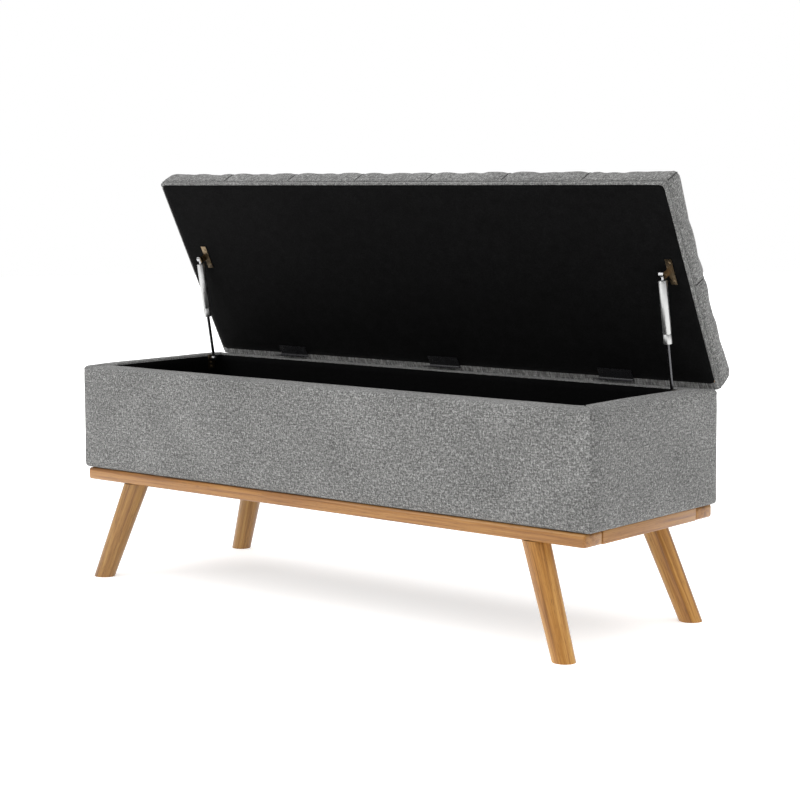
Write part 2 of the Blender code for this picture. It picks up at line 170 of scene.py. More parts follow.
def linen(name, light, dark, seed, yarn=0.95 * MM, depth=0.22 * MM):
    """Heathered plain weave. Its two yarn systems run along the piece's cloth map, which is in metres."""
    t = Tree(name)

    def grain(u, u_scale, v, v_scale, shift, detail, roughness):
        """Noise stretched along the cloth's two directions."""
        u, v = t.math("MULTIPLY", u, u_scale), t.math("MULTIPLY", v, v_scale)
        return t.noise(t.node("ShaderNodeCombineXYZ", u, v, seed + shift), 1, detail, roughness)

    def contrast(value, gain):
        return t.math("MULTIPLY", t.math("SUBTRACT", value, 0.5), gain)

    cloth = t.node("ShaderNodeUVMap", uv_map="cloth")
    cloth = t.vector("ADD", cloth, (seed * 0.37, seed * 0.53, 0))
    bent = t.noise(t.scaled(cloth, (35, 35, 1)), 1, 2, 0.5, "2D")
    bent = t.math("MULTIPLY_ADD", bent, 0.0016, -0.0008)
    split = t.node("ShaderNodeSeparateXYZ", cloth).node
    s = t.math("ADD", split.outputs[0], bent)
    w = t.math("ADD", split.outputs[1], bent)
    warp_at = t.math("DIVIDE", s, yarn)
    weft_at = t.math("DIVIDE", w, yarn)
    warp_id = t.math("FLOOR", warp_at)
    weft_id = t.math("FLOOR", weft_at)
    over = t.math("MODULO", t.math("ADD", warp_id, weft_id), 2.0)
    over = t.math("ABSOLUTE", over)
    # Each yarn rounds off across its width and dips where it passes under.
    warp_round = t.math("SINE", t.math("MULTIPLY", t.math("FRACT", warp_at), math.pi))
    weft_round = t.math("SINE", t.math("MULTIPLY", t.math("FRACT", weft_at), math.pi))
    height = t.math("MULTIPLY", warp_round, weft_round)
    # A yarn's own shade: fine across the yarn, long along it, with thick and thin places.
    warp_shade = grain(warp_id, YARN_APART, w, YARN_RUN, 0.0, 2, 0.6)
    weft_shade = grain(s, YARN_RUN, weft_id, YARN_APART, 9.0, 2, 0.6)
    warp_slub = grain(s, SLUB_ACROSS, w, SLUB_ALONG, 4.0, 1, 0.5)
    weft_slub = grain(s, SLUB_ALONG, w, SLUB_ACROSS, 6.0, 1, 0.5)
    speck = t.noise(t.scaled(cloth, (330, 330, 1)), 1, 1, 0.5, "2D")
    shade = t.node("ShaderNodeMix", over, warp_shade, weft_shade)
    slub = t.math("ADD", t.math("MULTIPLY", warp_slub, 0.5), t.math("MULTIPLY", weft_slub, 0.5))
    broad = t.noise(t.scaled(cloth, (9, 9, 1)), 1, 3, 0.55, "2D")
    tone = t.math("MULTIPLY_ADD", t.math("SUBTRACT", shade, 0.5), 1.1, 0.5)
    tone = t.math("ADD", tone, contrast(slub, 2.3))
    tone = t.math("ADD", tone, contrast(speck, 1.3))
    tone = t.math("ADD", tone, contrast(broad, 0.35), clamp=True)
    colour = t.mix(tone, rgba(*dark), rgba(*light))
    # Colour darkens where the yarns dip apart: painted shade in the gaps of the weave.
    painted_gap_shade = t.spread(height, 0.0, 0.35, 0.62, 1.0)
    colour = t.mix(1.0, colour, painted_gap_shade, "MULTIPLY")
    roughness = t.spread(tone, 0, 1, 0.92, 0.78)
    relief = t.math("ADD", t.math("MULTIPLY", height, 0.7), t.math("MULTIPLY", slub, 0.9))
    normal = t.bump(relief, depth, 0.55)
    sheen = {"Sheen_Weight": 0.18, "Sheen_Roughness": 0.45}
    return t.finish(colour, roughness, normal, **sheen, Specular_IOR_Level=0.25)


def felt(name, colour, seed, coarse=1.0):
    """Black non-woven cloth: matted fibres with faint dimples."""
    t = Tree(name)
    at = t.node("ShaderNodeTexCoord", out=3)
    at = t.vector("ADD", at, (seed, seed * 0.7, 0))
    fibres = t.noise(t.scaled(at, (260, 900, 900)), 1, 3, 0.65)
    cross = t.noise(t.scaled(at, (900, 240, 240)), 1, 3, 0.65)
    dimples = t.noise(t.scaled(at, (60, 60, 60)), 1, 4, 0.6)
    soil = t.noise(t.scaled(at, (5, 5, 5)), 1, 4, 0.6)
    mat = t.math("MULTIPLY", fibres, cross)
    level = t.spread(mat, 0.12, 0.42, 0.45, 1.7)
    level = t.math("MULTIPLY", level, t.spread(dimples, 0.3, 0.7, 0.75, 1.25))
    level = t.math("MULTIPLY", level, t.spread(soil, 0.3, 0.7, 0.85, 1.18))
    shade = t.mix(1.0, rgba(*colour), level, "MULTIPLY")
    relief = t.math("ADD", mat, t.math("MULTIPLY", dimples, 0.8 * coarse))
    normal = t.bump(relief, 0.35 * MM, 0.5)
    return t.finish(shade, t.spread(mat, 0.1, 0.5, 0.95, 0.8), normal, Specular_IOR_Level=0.06)


# The stain's colours, from its dark streaks to its pale ones, each with its place on the ramp.
STAIN = (
    (0.0, (0.150, 0.062, 0.020)),
    (0.3, (0.300, 0.140, 0.050)),
    (0.55, (0.440, 0.236, 0.100)),
    (1.0, (0.600, 0.370, 0.185)),
)


def timber(name, along, seed, tint=(1.0, 1.0, 1.0), gloss=0.35):
    """Lacquered, stained hardwood with its grain along one direction."""
    t = Tree(name)
    at = t.node("ShaderNodeTexCoord", out=3)
    turn = Vector(along).normalized().to_track_quat("Z", "Y").inverted().to_euler()
    at = t.node("ShaderNodeMapping", at, (seed * 0.31, seed * 0.17, seed * 0.71), tuple(turn), (1, 1, 1))
    drift = t.noise(t.scaled(at, (14, 14, 3)), 1, 2, 0.5)
    sway_x, sway_y = t.math("MULTIPLY", drift, 0.012), t.math("MULTIPLY", drift, 0.009)
    bent = t.vector("ADD", at, t.node("ShaderNodeCombineXYZ", sway_x, sway_y, 0.0))
    flame = t.noise(t.scaled(bent, (34, 34, 2.2)), 1, 3, 0.5)
    bands = t.noise(t.scaled(bent, (150, 150, 3.5)), 1, 3, 0.55)
    lines = t.noise(t.scaled(bent, (620, 620, 9)), 1, 2, 0.6)
    pores = t.noise(t.scaled(bent, (1300, 1300, 60)), 1, 1, 0.5)
    tone = t.math("MULTIPLY", flame, 0.55)
    tone = t.math("ADD", tone, t.math("MULTIPLY", bands, 0.65))
    tone = t.math("ADD", tone, t.math("MULTIPLY", lines, 0.35))
    tone = t.spread(tone, 0.5, 1.05)
    ramp = t.tree.nodes.new("ShaderNodeValToRGB")
    ramp.color_ramp.elements[0].position, ramp.color_ramp.elements[1].position = 0.0, 1.0
    for place, _ in STAIN[1:-1]:
        ramp.color_ramp.elements.new(place)
    for element, (place, shade) in zip(ramp.color_ramp.elements, STAIN):
        element.position = place
        element.color = rgba(*(c * k for c, k in zip(shade, tint)))
    t.put(ramp.inputs[0], tone)
    dark_pores = t.spread(pores, 0.62, 0.72, 0.0, 0.55)
    colour = t.mix(dark_pores, ramp.outputs[0], rgba(0.07, 0.03, 0.012))
    roughness = t.spread(bands, 0.3, 0.7, 0.34, 0.5)
    relief = t.math("SUBTRACT", t.math("MULTIPLY", lines, 0.5), dark_pores)
    normal = t.bump(relief, 0.08 * MM, 0.5)
    coat = t.bump(t.noise(t.scaled(at, (60, 60, 14)), 1, 2, 0.5), 0.25 * MM, 0.25)
    lacquer = {"Coat_Weight": gloss, "Coat_Roughness": 0.14, "Coat_Normal": coat}
    return t.finish(colour, roughness, normal, **lacquer, Specular_IOR_Level=0.2)


def metal(name, colour, roughness, seed, wear=0.25, metallic=1.0, brushed=(300, 300, 300), coat=0.0):
    """Metal or painted metal with fine scratches, handling marks and a little uneven polish."""
    t = Tree(name)
    at = t.node("ShaderNodeTexCoord", out=3)
    at = t.vector("ADD", at, (seed, seed * 0.4, seed * 0.9))
    scratches = t.noise(t.scaled(at, brushed), 1, 3, 0.6)
    marks = t.noise(t.scaled(at, (90, 90, 90)), 1, 4, 0.6)
    level = t.spread(marks, 0.3, 0.7, 1 - wear, 1 + wear * 0.5)
    shade = t.mix(1.0, rgba(*colour), level, "MULTIPLY")
    uneven = t.math("ADD", t.math("MULTIPLY", scratches, 0.5), t.math("MULTIPLY", marks, 0.5))
    rough = t.spread(uneven, 0.3, 0.7, max(0.02, roughness - 0.08), roughness + 0.12)
    normal = t.bump(scratches, 0.03 * MM, 0.35)
    return t.finish(shade, rough, normal, Metallic=metallic, Coat_Weight=coat, Coat_Roughness=0.1)


def plywood(name, along, seed):
    """Unfinished ply: pale face veneer with soft grain."""
    return timber(name, along, seed, (1.25, 1.35, 1.5), 0.0)


LINEN = linen("grey_linen", (0.440, 0.440, 0.430), (0.072, 0.072, 0.070), 1.0)
LINING = felt("black_lining", (0.0036, 0.0036, 0.0037), 2.0)
# The box's lining is the lid lining's black felt made darker still: painted shade for the inside of the box.
BAG_FELT_PAINTED_SHADE = felt("black_bag", (0.0016, 0.0016, 0.0017), 3.0)
DUST = felt("black_dust_cloth", (0.008, 0.008, 0.0085), 5.0, 1.5)
# Dark thread for the stitches; the same material paints the shade along the lid's seam grooves.
DARK_THREAD_AND_SEAM_SHADE = metal("dark_thread", (0.022, 0.022, 0.022), 0.75, 3.0, 0.3, 0.0, (900, 900, 900))


# ---------------------------------------------------------------- meshes


def add_piece(name, points, faces, material, body=None, matrix=None, uv=None, corner_uv=None):
    """A mesh piece. uv is per vertex; corner_uv is per face corner."""
    mesh = bpy.data.meshes.new(name)
    mesh.from_pydata([tuple(p) for p in points], [], [tuple(f) for f in faces])
    if uv is not None or corner_uv is not None:
        layer = mesh.uv_layers.new(name="cloth")
        if corner_uv is None:
            index = np.empty(len(mesh.loops), np.int32)
            mesh.loops.foreach_get("vertex_index", index)
            corner_uv = np.asarray(uv)[index]
        layer.data.foreach_set("uv", np.asarray(corner_uv, np.float32).ravel())
    mesh.shade_smooth()
    mesh.materials.append(material)
    obj = bpy.data.objects.new(name, mesh)
    bpy.context.scene.collection.objects.link(obj)
    if matrix is not None:
        mesh.transform(matrix)
    mesh.update()
    if body:
        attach(obj, body)
    return obj


def coords(obj):
    out = np.empty(len(obj.data.vertices) * 3, np.float32)
    obj.data.vertices.foreach_get("co", out)
    return out.reshape(-1, 3).astype(float)


def set_coords(obj, points):
    obj.data.vertices.foreach_set("co", np.asarray(points, np.float32).ravel())
    obj.data.update()


def normals(obj):
    out = np.empty(len(obj.data.vertices) * 3, np.float32)
    obj.data.vertices.foreach_get("normal", out)
    return out.reshape(-1, 3).astype(float)


def face_outward(obj):
    shape = bmesh.new()
    shape.from_mesh(obj.data)
    bmesh.ops.recalc_face_normals(shape, faces=shape.faces[:])
    shape.to_mesh(obj.data)
    shape.free()
    obj.data.update()


def subdivide(obj, levels=1):
    step = obj.modifiers.new("smooth", "SUBSURF")
    step.levels = levels
    step.render_levels = levels
    step.uv_smooth = "PRESERVE_BOUNDARIES"


def keep_modifiers(obj):
    """Makes what the modifiers show the piece's own mesh."""
    graph = bpy.context.evaluated_depsgraph_get()
    solved = bpy.data.meshes.new_from_object(obj.evaluated_get(graph), depsgraph=graph)
    solved.name = obj.name
    obj.modifiers.clear()
    obj.data = solved


def close_holes(obj):
    """Closes the hidden opening of a skin with flat triangles."""
    shape = bmesh.new()
    shape.from_mesh(obj.data)
    rim = [e for e in shape.edges if e.is_boundary]
    made = bmesh.ops.holes_fill(shape, edges=rim, sides=0)["faces"]
    bmesh.ops.triangulate(shape, faces=made, ngon_method="EAR_CLIP")
    bmesh.ops.recalc_face_normals(shape, faces=shape.faces[:])
    shape.to_mesh(obj.data)
    shape.free()
    obj.data.shade_smooth()


def inflate(obj, pinned, pressure, cap, frames=20, stiffness=15.0, excess=0.0):
    """Cloth simulation under pressure, from the mesh as it is.

    pinned holds each point's weight. A point moves at most about cap.
    """
    start = coords(obj)
    group = obj.vertex_groups.new(name="sewn")
    for weight in np.unique(pinned):
        if weight > 0:
            group.add(np.flatnonzero(pinned == weight).tolist(), float(weight), "REPLACE")
    cloth = obj.modifiers.new("cloth", "CLOTH")
    settings = cloth.settings
    settings.vertex_group_mass = "sewn"
    settings.use_pressure = True
    settings.uniform_pressure_force = pressure
    settings.effector_weights.gravity = 0
    settings.quality = 6
    settings.mass = 0.3
    settings.tension_stiffness = stiffness
    settings.compression_stiffness = stiffness
    settings.shear_stiffness = 5
    settings.bending_stiffness = 0.5
    settings.shrink_min = -excess
    cloth.collision_settings.use_collision = False
    cloth.point_cache.frame_start = 1
    cloth.point_cache.frame_end = frames
    scene = bpy.context.scene
    for step in range(1, frames + 1):
        scene.frame_set(step)
    graph = bpy.context.evaluated_depsgraph_get()
    solved = obj.evaluated_get(graph)
    out = np.empty(len(start) * 3, np.float32)
    solved.data.vertices.foreach_get("co", out)
    moved = out.reshape(-1, 3).astype(float) - start
    obj.modifiers.remove(cloth)
    obj.vertex_groups.remove(group)
    scene.frame_set(1)
    far = np.linalg.norm(moved, axis=1, keepdims=True)
    eased = cap * np.tanh(far / cap) / np.maximum(far, 1e-9)
    set_coords(obj, start + moved * eased)


def ripple(points, size, seed):
    """Smooth noise at each point, from -1 to 1."""
    shift = Vector((seed * 3.1, seed * 1.7, seed * 2.3))
    return np.array([noise.noise(Vector(p) / size + shift) for p in points])


def arc(centre, radius, start, end, steps):
    angles = np.radians(np.linspace(start, end, steps + 1))
    return [(centre[0] + radius * math.cos(a), centre[1] + radius * math.sin(a)) for a in angles]


def tube(path, radius, sides=8, closed=False, flatten=1.0):
    """Points, faces and cloth map of a tube that follows the path's points."""
    path = np.asarray(path, float)
    count = len(path)
    ahead = np.roll(path, -1, 0) - np.roll(path, 1, 0)
    if not closed:
        ahead[0], ahead[-1] = path[1] - path[0], path[-1] - path[-2]
    ahead /= np.linalg.norm(ahead, axis=1, keepdims=True)
    side = np.cross(ahead[0], (0.0, 0.0, 1.0))
    if np.linalg.norm(side) < 1e-3:
        side = np.cross(ahead[0], (0.0, 1.0, 0.0))
    rings, along, uvs, last = [], 0.0, [], None
    for i in range(count):
        side = side - ahead[i] * (side @ ahead[i])
        side /= np.linalg.norm(side)
        up = np.cross(side, ahead[i])
        if last is not None:
            along += np.linalg.norm(path[i] - last)
        last = path[i]
        for k in range(sides):
            a = 2 * math.pi * k / sides
            rings.append(path[i] + radius * (math.cos(a) * side + flatten * math.sin(a) * up))
            uvs.append((along, radius * a))
    faces = []
    for i in range(count if closed else count - 1):
        j = (i + 1) % count
        for k in range(sides):
            m = (k + 1) % sides
            faces.append((i * sides + k, j * sides + k, j * sides + m, i * sides + m))
    if not closed:
        faces.append(tuple(range(sides)))
        faces.append(tuple((count - 1) * sides + k for k in reversed(range(sides))))
    return rings, faces, uvs


def merged(parts):
    """Several (points, faces, uvs) as one."""
    points, faces, uvs = [], [], []
    for p, f, u in parts:
        base = len(points)
        points += [tuple(x) for x in p]
        uvs += [tuple(x) for x in u]
        faces += [tuple(base + i for i in face) for face in f]
    return points, faces, uvs


# ---------------------------------------------------------------- box upholstery

COVERS = ("front_cover", "right_cover", "rear_cover", "left_cover")
low_corner = [min(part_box(n)[0][i] for n in COVERS) for i in range(3)]
high_corner = [max(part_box(n)[1][i] for n in COVERS) for i in range(3)]
HALF_X = (high_corner[0] - low_corner[0]) / 2
HALF_Y = (high_corner[1] - low_corner[1]) / 2
MIDDLE_Y = (high_corner[1] + low_corner[1]) / 2
LOW, HIGH = low_corner[2], high_corner[2]
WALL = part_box("right_cover")[1][0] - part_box("right_cover")[0][0]
PAD = 12 * MM
CORNER = 4.5 * MM
CORNER_STEPS = 6
TOP_ROUND = 10 * MM
FOOT_ROUND = 9 * MM
BACK_TURN = 2 * MM  # the chamfer at the top of the padding's back
FOLD = 4 * MM  # radius where the cover turns down inside the box


def cover_ring():
    """(depth, height) of the skin and of the back of the padding, point for point."""
    low, high, top, foot = LOW, HIGH, TOP_ROUND, FOOT_ROUND
    skin = arc((foot, low + foot), foot, 270, 180, 5)
    back = [(PAD, low + foot * i / 5) for i in range(6)]
    face_top = high - PAD - BACK_TURN
    for z in np.linspace(low + foot, face_top, 25)[1:]:
        skin.append((0, z))
        back.append((PAD, z))
    bend = arc((top, high - top), top, 180, 90, 6)
    for i, point in enumerate(bend):
        skin.append(point)
        turn = i / 6
        reach = 2 * BACK_TURN * turn
        if turn <= 0.5:
            back.append((PAD, face_top + min(reach, BACK_TURN)))
        else:
            back.append((PAD + reach - BACK_TURN, face_top + BACK_TURN))
    for d in np.linspace(top + 2 * MM, WALL - FOLD, 6):
        skin.append((d, high))
        back.append((max(d, PAD + BACK_TURN + (d - top) * 0.8), high - PAD))
    for point in arc((WALL - FOLD, high - FOLD), FOLD, 90, 0, 4)[1:]:
        skin.append(point)
        back.append((WALL - 1.5 * MM, high - PAD))
    skin.append((WALL, high - 8 * MM))
    back.append((WALL - 1.0 * MM, high - PAD))
    skin.append((WALL, high - PAD + 1 * MM))
    back.append((WALL - 0.5 * MM, high - PAD))
    # Points of the back that would fall together are spread out along it.
    fixed = [back[0]]
    for d, z in back[1:]:
        if math.dist((d, z), fixed[-1]) < 0.15 * MM:
            d, z = fixed[-1][0] + 0.2 * MM, z
        fixed.append((d, z))
    return np.array(skin), np.array(fixed)


def corner_path(half, depth, t):
    """Place along the cover and depth, at share t of the way round to the mitre."""
    straight = min(depth, CORNER)
    bend = CORNER - straight
    start = half - depth - CORNER
    total = CORNER if bend == 0 else straight + bend * math.pi / 4
    far = t * total
    if bend == 0 or far <= straight:
        return start + far, depth, 0.0
    angle = (far - straight) / bend
    return half - CORNER + bend * math.sin(angle), CORNER - bend * math.cos(angle), angle


def make_cover(node, half, turn, shift, seed):
    skin, back = cover_ring()
    along = np.gradient(skin, axis=0)
    along /= np.linalg.norm(along, axis=1, keepdims=True)
    outward = np.stack([-along[:, 1], along[:, 0]], axis=1)
    ring = np.concatenate([skin, back[::-1]])
    count, total = len(skin), len(ring)
    arc_length = np.concatenate([[0], np.cumsum(np.linalg.norm(np.diff(skin, axis=0), axis=1))])
    arc_length = np.concatenate([arc_length, arc_length[::-1]])
    columns = max(8, round(2 * half / (8 * MM)))
    places = []
    for t in np.linspace(1, 0, CORNER_STEPS + 1)[:-1]:
        places.append((-1, t))
    for s in np.linspace(-1, 1, columns + 1):
        places.append((s, None))
    for t in np.linspace(0, 1, CORNER_STEPS + 1)[1:]:
        places.append((1, t))
    points, uvs, pins = [], [], []
    for s, t in places:
        for j, (d, z) in enumerate(ring):
            on_skin = j < count
            if t is None:
                x, depth, angle = s * (half - d - CORNER), d, 0.0
                groove = 0.0
            else:
                x, depth, angle = corner_path(half, d, t)
                groove = 1.5 * MM * math.exp(-(((1 - t) * 6.5 / 1.8) ** 2)) if on_skin else 0.05 * MM
            if on_skin:
                nd, nz = outward[j]
                x -= groove * -nd * math.sin(angle)
                depth += groove * -nd * math.cos(angle)
                z -= groove * nz
                if 3 < j < count - 3:
                    depth += -nd * 1.2 * MM
                    z -= nz * 1.0 * MM
            elif t == 1:
                x -= 0.1 * MM
            x = abs(x) * (1 if s > 0 else -1) if t is not None else x
            points.append((x, depth, z))
            uvs.append((x, arc_length[j]))
            pins.append(0.0 if on_skin and 3 <= j < count - 4 and (t is None or t < 0.9) else 1.0)
    faces = []
    for i in range(len(places) - 1):
        for j in range(total):
            k = (j + 1) % total
            faces.append((i * total + j, (i + 1) * total + j, (i + 1) * total + k, i * total + k))
    for i, flip in ((0, 1), (len(places) - 1, -1)):
        for j in range(count - 1):
            face = (i * total + j, i * total + j + 1, i * total + total - 2 - j, i * total + total - 1 - j)
            faces.append(face[::flip])
    obj = add_piece(node + "_padded", points, faces, LINEN, uv=uvs)
    face_outward(obj)
    inflate(obj, np.array(pins), 2.5, 2.6 * MM, 16)
    here = coords(obj)
    free = 1 - np.array(pins)
    wave = ripple(here, 0.11, seed) * 0.45 * MM + ripple(here, 0.035, seed + 5) * 0.16 * MM
    set_coords(obj, here + normals(obj) * (wave * free)[:, None])
    turned = Matrix.Translation((0, MIDDLE_Y, 0)) @ Matrix.Rotation(turn, 4, "Z")
    obj.data.transform(turned @ Matrix.Translation((0, -shift, 0)))
    subdivide(obj)
    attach(obj, "root")
    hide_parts(node)
    return obj


for name, half, turn, shift in (
    ("front_cover", HALF_X, 0, HALF_Y),
    ("right_cover", HALF_Y, math.pi / 2, HALF_X),
    ("rear_cover", HALF_X, math.pi, HALF_Y),
    ("left_cover", HALF_Y, -math.pi / 2, HALF_X),
):
    make_cover(name, half, turn, shift, len(name) + half)


# ---------------------------------------------------------------- lid cushion

lid_low, lid_high = lid_box("lid_cushion")
lining_low, lining_high = lid_box("lid_lining")
BOARD_TOP = lid_box("lid_board")[1][2]
LID_X = lid_high[0]
LID_FRONT, LID_BACK = lid_low[1], lid_high[1]
LID_MIDDLE = (LID_FRONT + LID_BACK) / 2
LID_Y = (LID_BACK - LID_FRONT) / 2
LID_UNDER, LID_TOP = lid_low[2], lid_high[2]
MARGIN = LID_X - lining_high[0]
WELT_HEIGHT = LID_UNDER + 8 * MM
PILLOWS = 7  # along the bench, in each of two rows
PITCH = 169.6 * MM  # seam to seam along the bench
SHOULDER = 10 * MM
SEAM_DROP = 4.5 * MM  # below the cushion's nominal top
CROWN = 7.5 * MM  # pillow above its seams
BACK_REACH = 60 * MM
BACK_LEAN = 9 * MM  # how far the top of the lid's back leans in


def pillow_places(edges, step=7.0 * MM):
    """Grid lines that crowd towards the seams at the given places, and which of them are seams."""
    near = np.array([0, 2.0, 5.0, 9.5]) * MM
    places, seams = [], []
    for i, (a, b) in enumerate(zip(edges, edges[1:])):
        first = near if i > 0 else np.array([0.0, 6 * MM, 12 * MM])
        last = near if i < len(edges) - 2 else np.array([0.0, 6 * MM, 12 * MM])
        middle_from, middle_to = a + first[-1], b - last[-1]
        cells = max(2, round((middle_to - middle_from) / step))
        middle = np.linspace(middle_from, middle_to, cells + 1)
        line = [*(a + first[:-1]), *middle, *(b - last[:-1])[::-1]]
        if i > 0:
            seams.append(len(places) - 1)
            line = line[1:]
        places += line
    return np.array(places), seams


def fullness(distance, reach):
    """How far a pillow has risen at a distance from its seam, from 0 to 1."""
    return 1 - math.exp(-((distance / reach) ** 0.85))


def make_cushion():
    hx, hy = LID_X, LID_Y
    x_edges = [-hx] + [PITCH * (i - (PILLOWS - 2) / 2) for i in range(PILLOWS - 1)] + [hx]
    xs, x_seams = pillow_places(x_edges)
    ys, y_seams = pillow_places([-hy, 0, hy])
    nx, ny = len(xs), len(ys)
    x_lines, y_lines = x_edges[1:-1], [0.0]
    rear_margin = LID_BACK - lining_high[1]
    # Rings from the board's pocket out under the lid to the welt: (inset, height), then at the hinge side.
    turned = [
        ((MARGIN, BOARD_TOP + 0.3 * MM), (rear_margin, BOARD_TOP + 0.3 * MM)),
        ((MARGIN, LID_UNDER + 0.25 * MM), (rear_margin, LID_UNDER + 0.25 * MM)),
        ((MARGIN + 0.8 * MM, LID_UNDER), (rear_margin + 0.8 * MM, LID_UNDER)),
        ((3.2 * MM, LID_UNDER - 0.1 * MM), None),
        ((1.6 * MM, LID_UNDER + 0.1 * MM), (1.4 * MM, LID_UNDER - 0.6 * MM)),
        ((0.8 * MM, LID_UNDER + 0.9 * MM), (-0.4 * MM, LID_UNDER - 0.9 * MM)),
        ((0.5 * MM, LID_UNDER + 2.4 * MM), (-1.3 * MM, LID_UNDER + 0.4 * MM)),
        ((0.4 * MM, LID_UNDER + 4.4 * MM), (-1.2 * MM, LID_UNDER + 3.0 * MM)),
        ((0.7 * MM, LID_UNDER + 6.4 * MM), (0.2 * MM, LID_UNDER + 5.8 * MM)),
        ((2.6 * MM, WELT_HEIGHT), None),
    ]
    # Then the boxing and the shoulder at the depth of the seams: (inset, height, outward, upward, fullness).
    seam_top = LID_TOP - SEAM_DROP
    wall = 1.3 * MM
    boxing = [(wall + 0.6 * MM, WELT_HEIGHT + 1.4 * MM, 1.0, 0.0, 0.6 * MM)]
    boxing.append((wall, WELT_HEIGHT + 4 * MM, 1.0, 0.0, 1.4 * MM))
    boxing.append((wall, WELT_HEIGHT + 8 * MM, 1.0, 0.0, 2.0 * MM))
    bend_low = seam_top - SHOULDER
    boxing.append((wall, (WELT_HEIGHT + 8 * MM + bend_low) / 2, 1.0, 0.0, 2.4 * MM))
    for i in range(8):
        a = math.radians(90 * i / 7)
        rise = 2.6 * MM + (CROWN - 2.6 * MM) * (i / 7) ** 1.5
        out, up = math.cos(a), math.sin(a)
        boxing.append((wall + SHOULDER * (1 - out), bend_low + SHOULDER * up, out, up, rise))
    keep_x, keep_y = hx - 34 * MM, hy - 34 * MM

    def squeezed(value, half, keep, inset):
        far = abs(value)
        if far > keep:
            far = keep + (far - keep) * (half - inset - keep) / (half - keep)
        return math.copysign(far, value)

    def rise_at(x, y, on_side=True, on_end=True):
        """Fullness from the seams that cross this place."""
        near_x = min(abs(x - line) for line in x_lines)
        near_y = min(abs(y - line) for line in y_lines)
        full = fullness(near_x, 9 * MM) if on_side else 1.0
        return full * (fullness(near_y, 9 * MM) if on_end else 1.0)

    ring_index = [(i, 0) for i in range(nx)] + [(nx - 1, j) for j in range(1, ny)]
    ring_index += [(i, ny - 1) for i in range(nx - 2, -1, -1)] + [(0, j) for j in range(ny - 2, 0, -1)]
    around = len(ring_index)
    points, pins, profile = [], [], []
    round_corner = 8 * MM
    for r, ((inset, height), rear) in enumerate(turned):
        profile.append((inset, height))
        for i, j in ring_index:
            x, y, z = squeezed(xs[i], hx, keep_x, inset), squeezed(ys[j], hy, keep_y, inset), height
            if r == 2:
                dx, dy = abs(x) - (hx - inset - round_corner), abs(y) - (hy - inset - round_corner)
                if dx > 0 and dy > 0:
                    shrink = max(dx, dy) / math.hypot(dx, dy)
                    x = math.copysign(hx - inset - round_corner + dx * shrink, x)
                    y = math.copysign(hy - inset - round_corner + dy * shrink, y)
            if rear and j == ny - 1:
                share = min(1.0, max(0.0, (hx - abs(x) - 4 * MM) / (18 * MM)))
                share = 1.0 if r < 3 else share * share * (3 - 2 * share)
                y += share * (inset - rear[0])
                z += share * (rear[1] - height)
            points.append((x, y, z))
            pins.append(1.0)
    for r, (inset, height, out, up, rise) in enumerate(boxing):
        profile.append((inset, height))
        for i, j in ring_index:
            x, y, z = squeezed(xs[i], hx, keep_x, inset), squeezed(ys[j], hy, keep_y, inset), height
            on_side, on_end = j in (0, ny - 1), i in (0, nx - 1)
            full = rise_at(x, y, on_side, on_end) * rise
            if on_side and on_end:
                full = min(full, 1.2 * MM)
            if on_side:
                y += math.copysign(out * full, y)
            if on_end:
                x += math.copysign(out * full, x)
            z += up * full
            sewn = (on_side and i in x_seams) or (on_end and j in y_seams) or (on_side and on_end)
            points.append((x, y, z))
            pins.append(1.0 if sewn else 0.0)
    rings = len(profile)
    top_inset = boxing[-1][0]
    grid = {index: (rings - 1) * around + k for k, index in enumerate(ring_index)}
    for i in range(1, nx - 1):
        for j in range(1, ny - 1):
            x, y = squeezed(xs[i], hx, keep_x, top_inset), squeezed(ys[j], hy, keep_y, top_inset)
            seam_x, seam_y = i in x_seams, j in y_seams
            knot = math.exp(-min(math.hypot(x - line, y) for line in x_lines) / (14 * MM))
            grid[i, j] = len(points)
            points.append((x, y, seam_top + rise_at(x, y) * CROWN - knot * 3.0 * MM))
            pins.append(1.0 if seam_x or seam_y else 0.0)
    lengths = [0.0]
    for first, second in zip(profile, profile[1:]):
        lengths.append(lengths[-1] + math.dist(first, second))
    faces, corner_uv = [], []
    for r in range(rings - 1):
        for k in range(around):
            m = (k + 1) % around
            (i0, j0), (i1, j1) = ring_index[k], ring_index[m]
            faces.append((r * around + k, r * around + m, (r + 1) * around + m, (r + 1) * around + k))
            for i, j, q in ((i0, j0, r), (i1, j1, r), (i1, j1, r + 1), (i0, j0, r + 1)):
                u, v, drop = xs[i], ys[j], lengths[-1] - lengths[q]
                if j0 == j1:
                    v += drop * (-1 if j0 == 0 else 1)
                else:
                    u += drop * (-1 if i0 == 0 else 1)
                corner_uv.append((u, v))
    for i in range(nx - 1):
        for j in range(ny - 1):
            faces.append((grid[i, j], grid[i + 1, j], grid[i + 1, j + 1], grid[i, j + 1]))
            corner_uv += [(xs[i], ys[j]), (xs[i + 1], ys[j]), (xs[i + 1], ys[j + 1]), (xs[i], ys[j + 1])]
    points = np.array(points)
    near_back = np.clip((points[:, 1] - (hy - BACK_REACH)) / BACK_REACH, 0, 1) ** 2
    raised = np.clip((points[:, 2] - WELT_HEIGHT) / (LID_TOP - WELT_HEIGHT), 0, 1)
    points[:, 1] -= BACK_LEAN * near_back * raised
    points[:, 1] += LID_MIDDLE
    obj = add_piece("lid_cushion_tufted", points, faces, LINEN, corner_uv=corner_uv)
    pins = np.array(pins)
    inflate(obj, pins, 4.0, 4.0 * MM, 20, 12.0, 0.02)
    here = coords(obj)
    free = 1 - pins
    wave = ripple(here, 0.06, 3) * 0.5 * MM + ripple(here, 0.02, 8) * 0.2 * MM
    set_coords(obj, here + normals(obj) * (wave * free)[:, None])
    obj.data.transform(LID)
    subdivide(obj)
    keep_modifiers(obj)
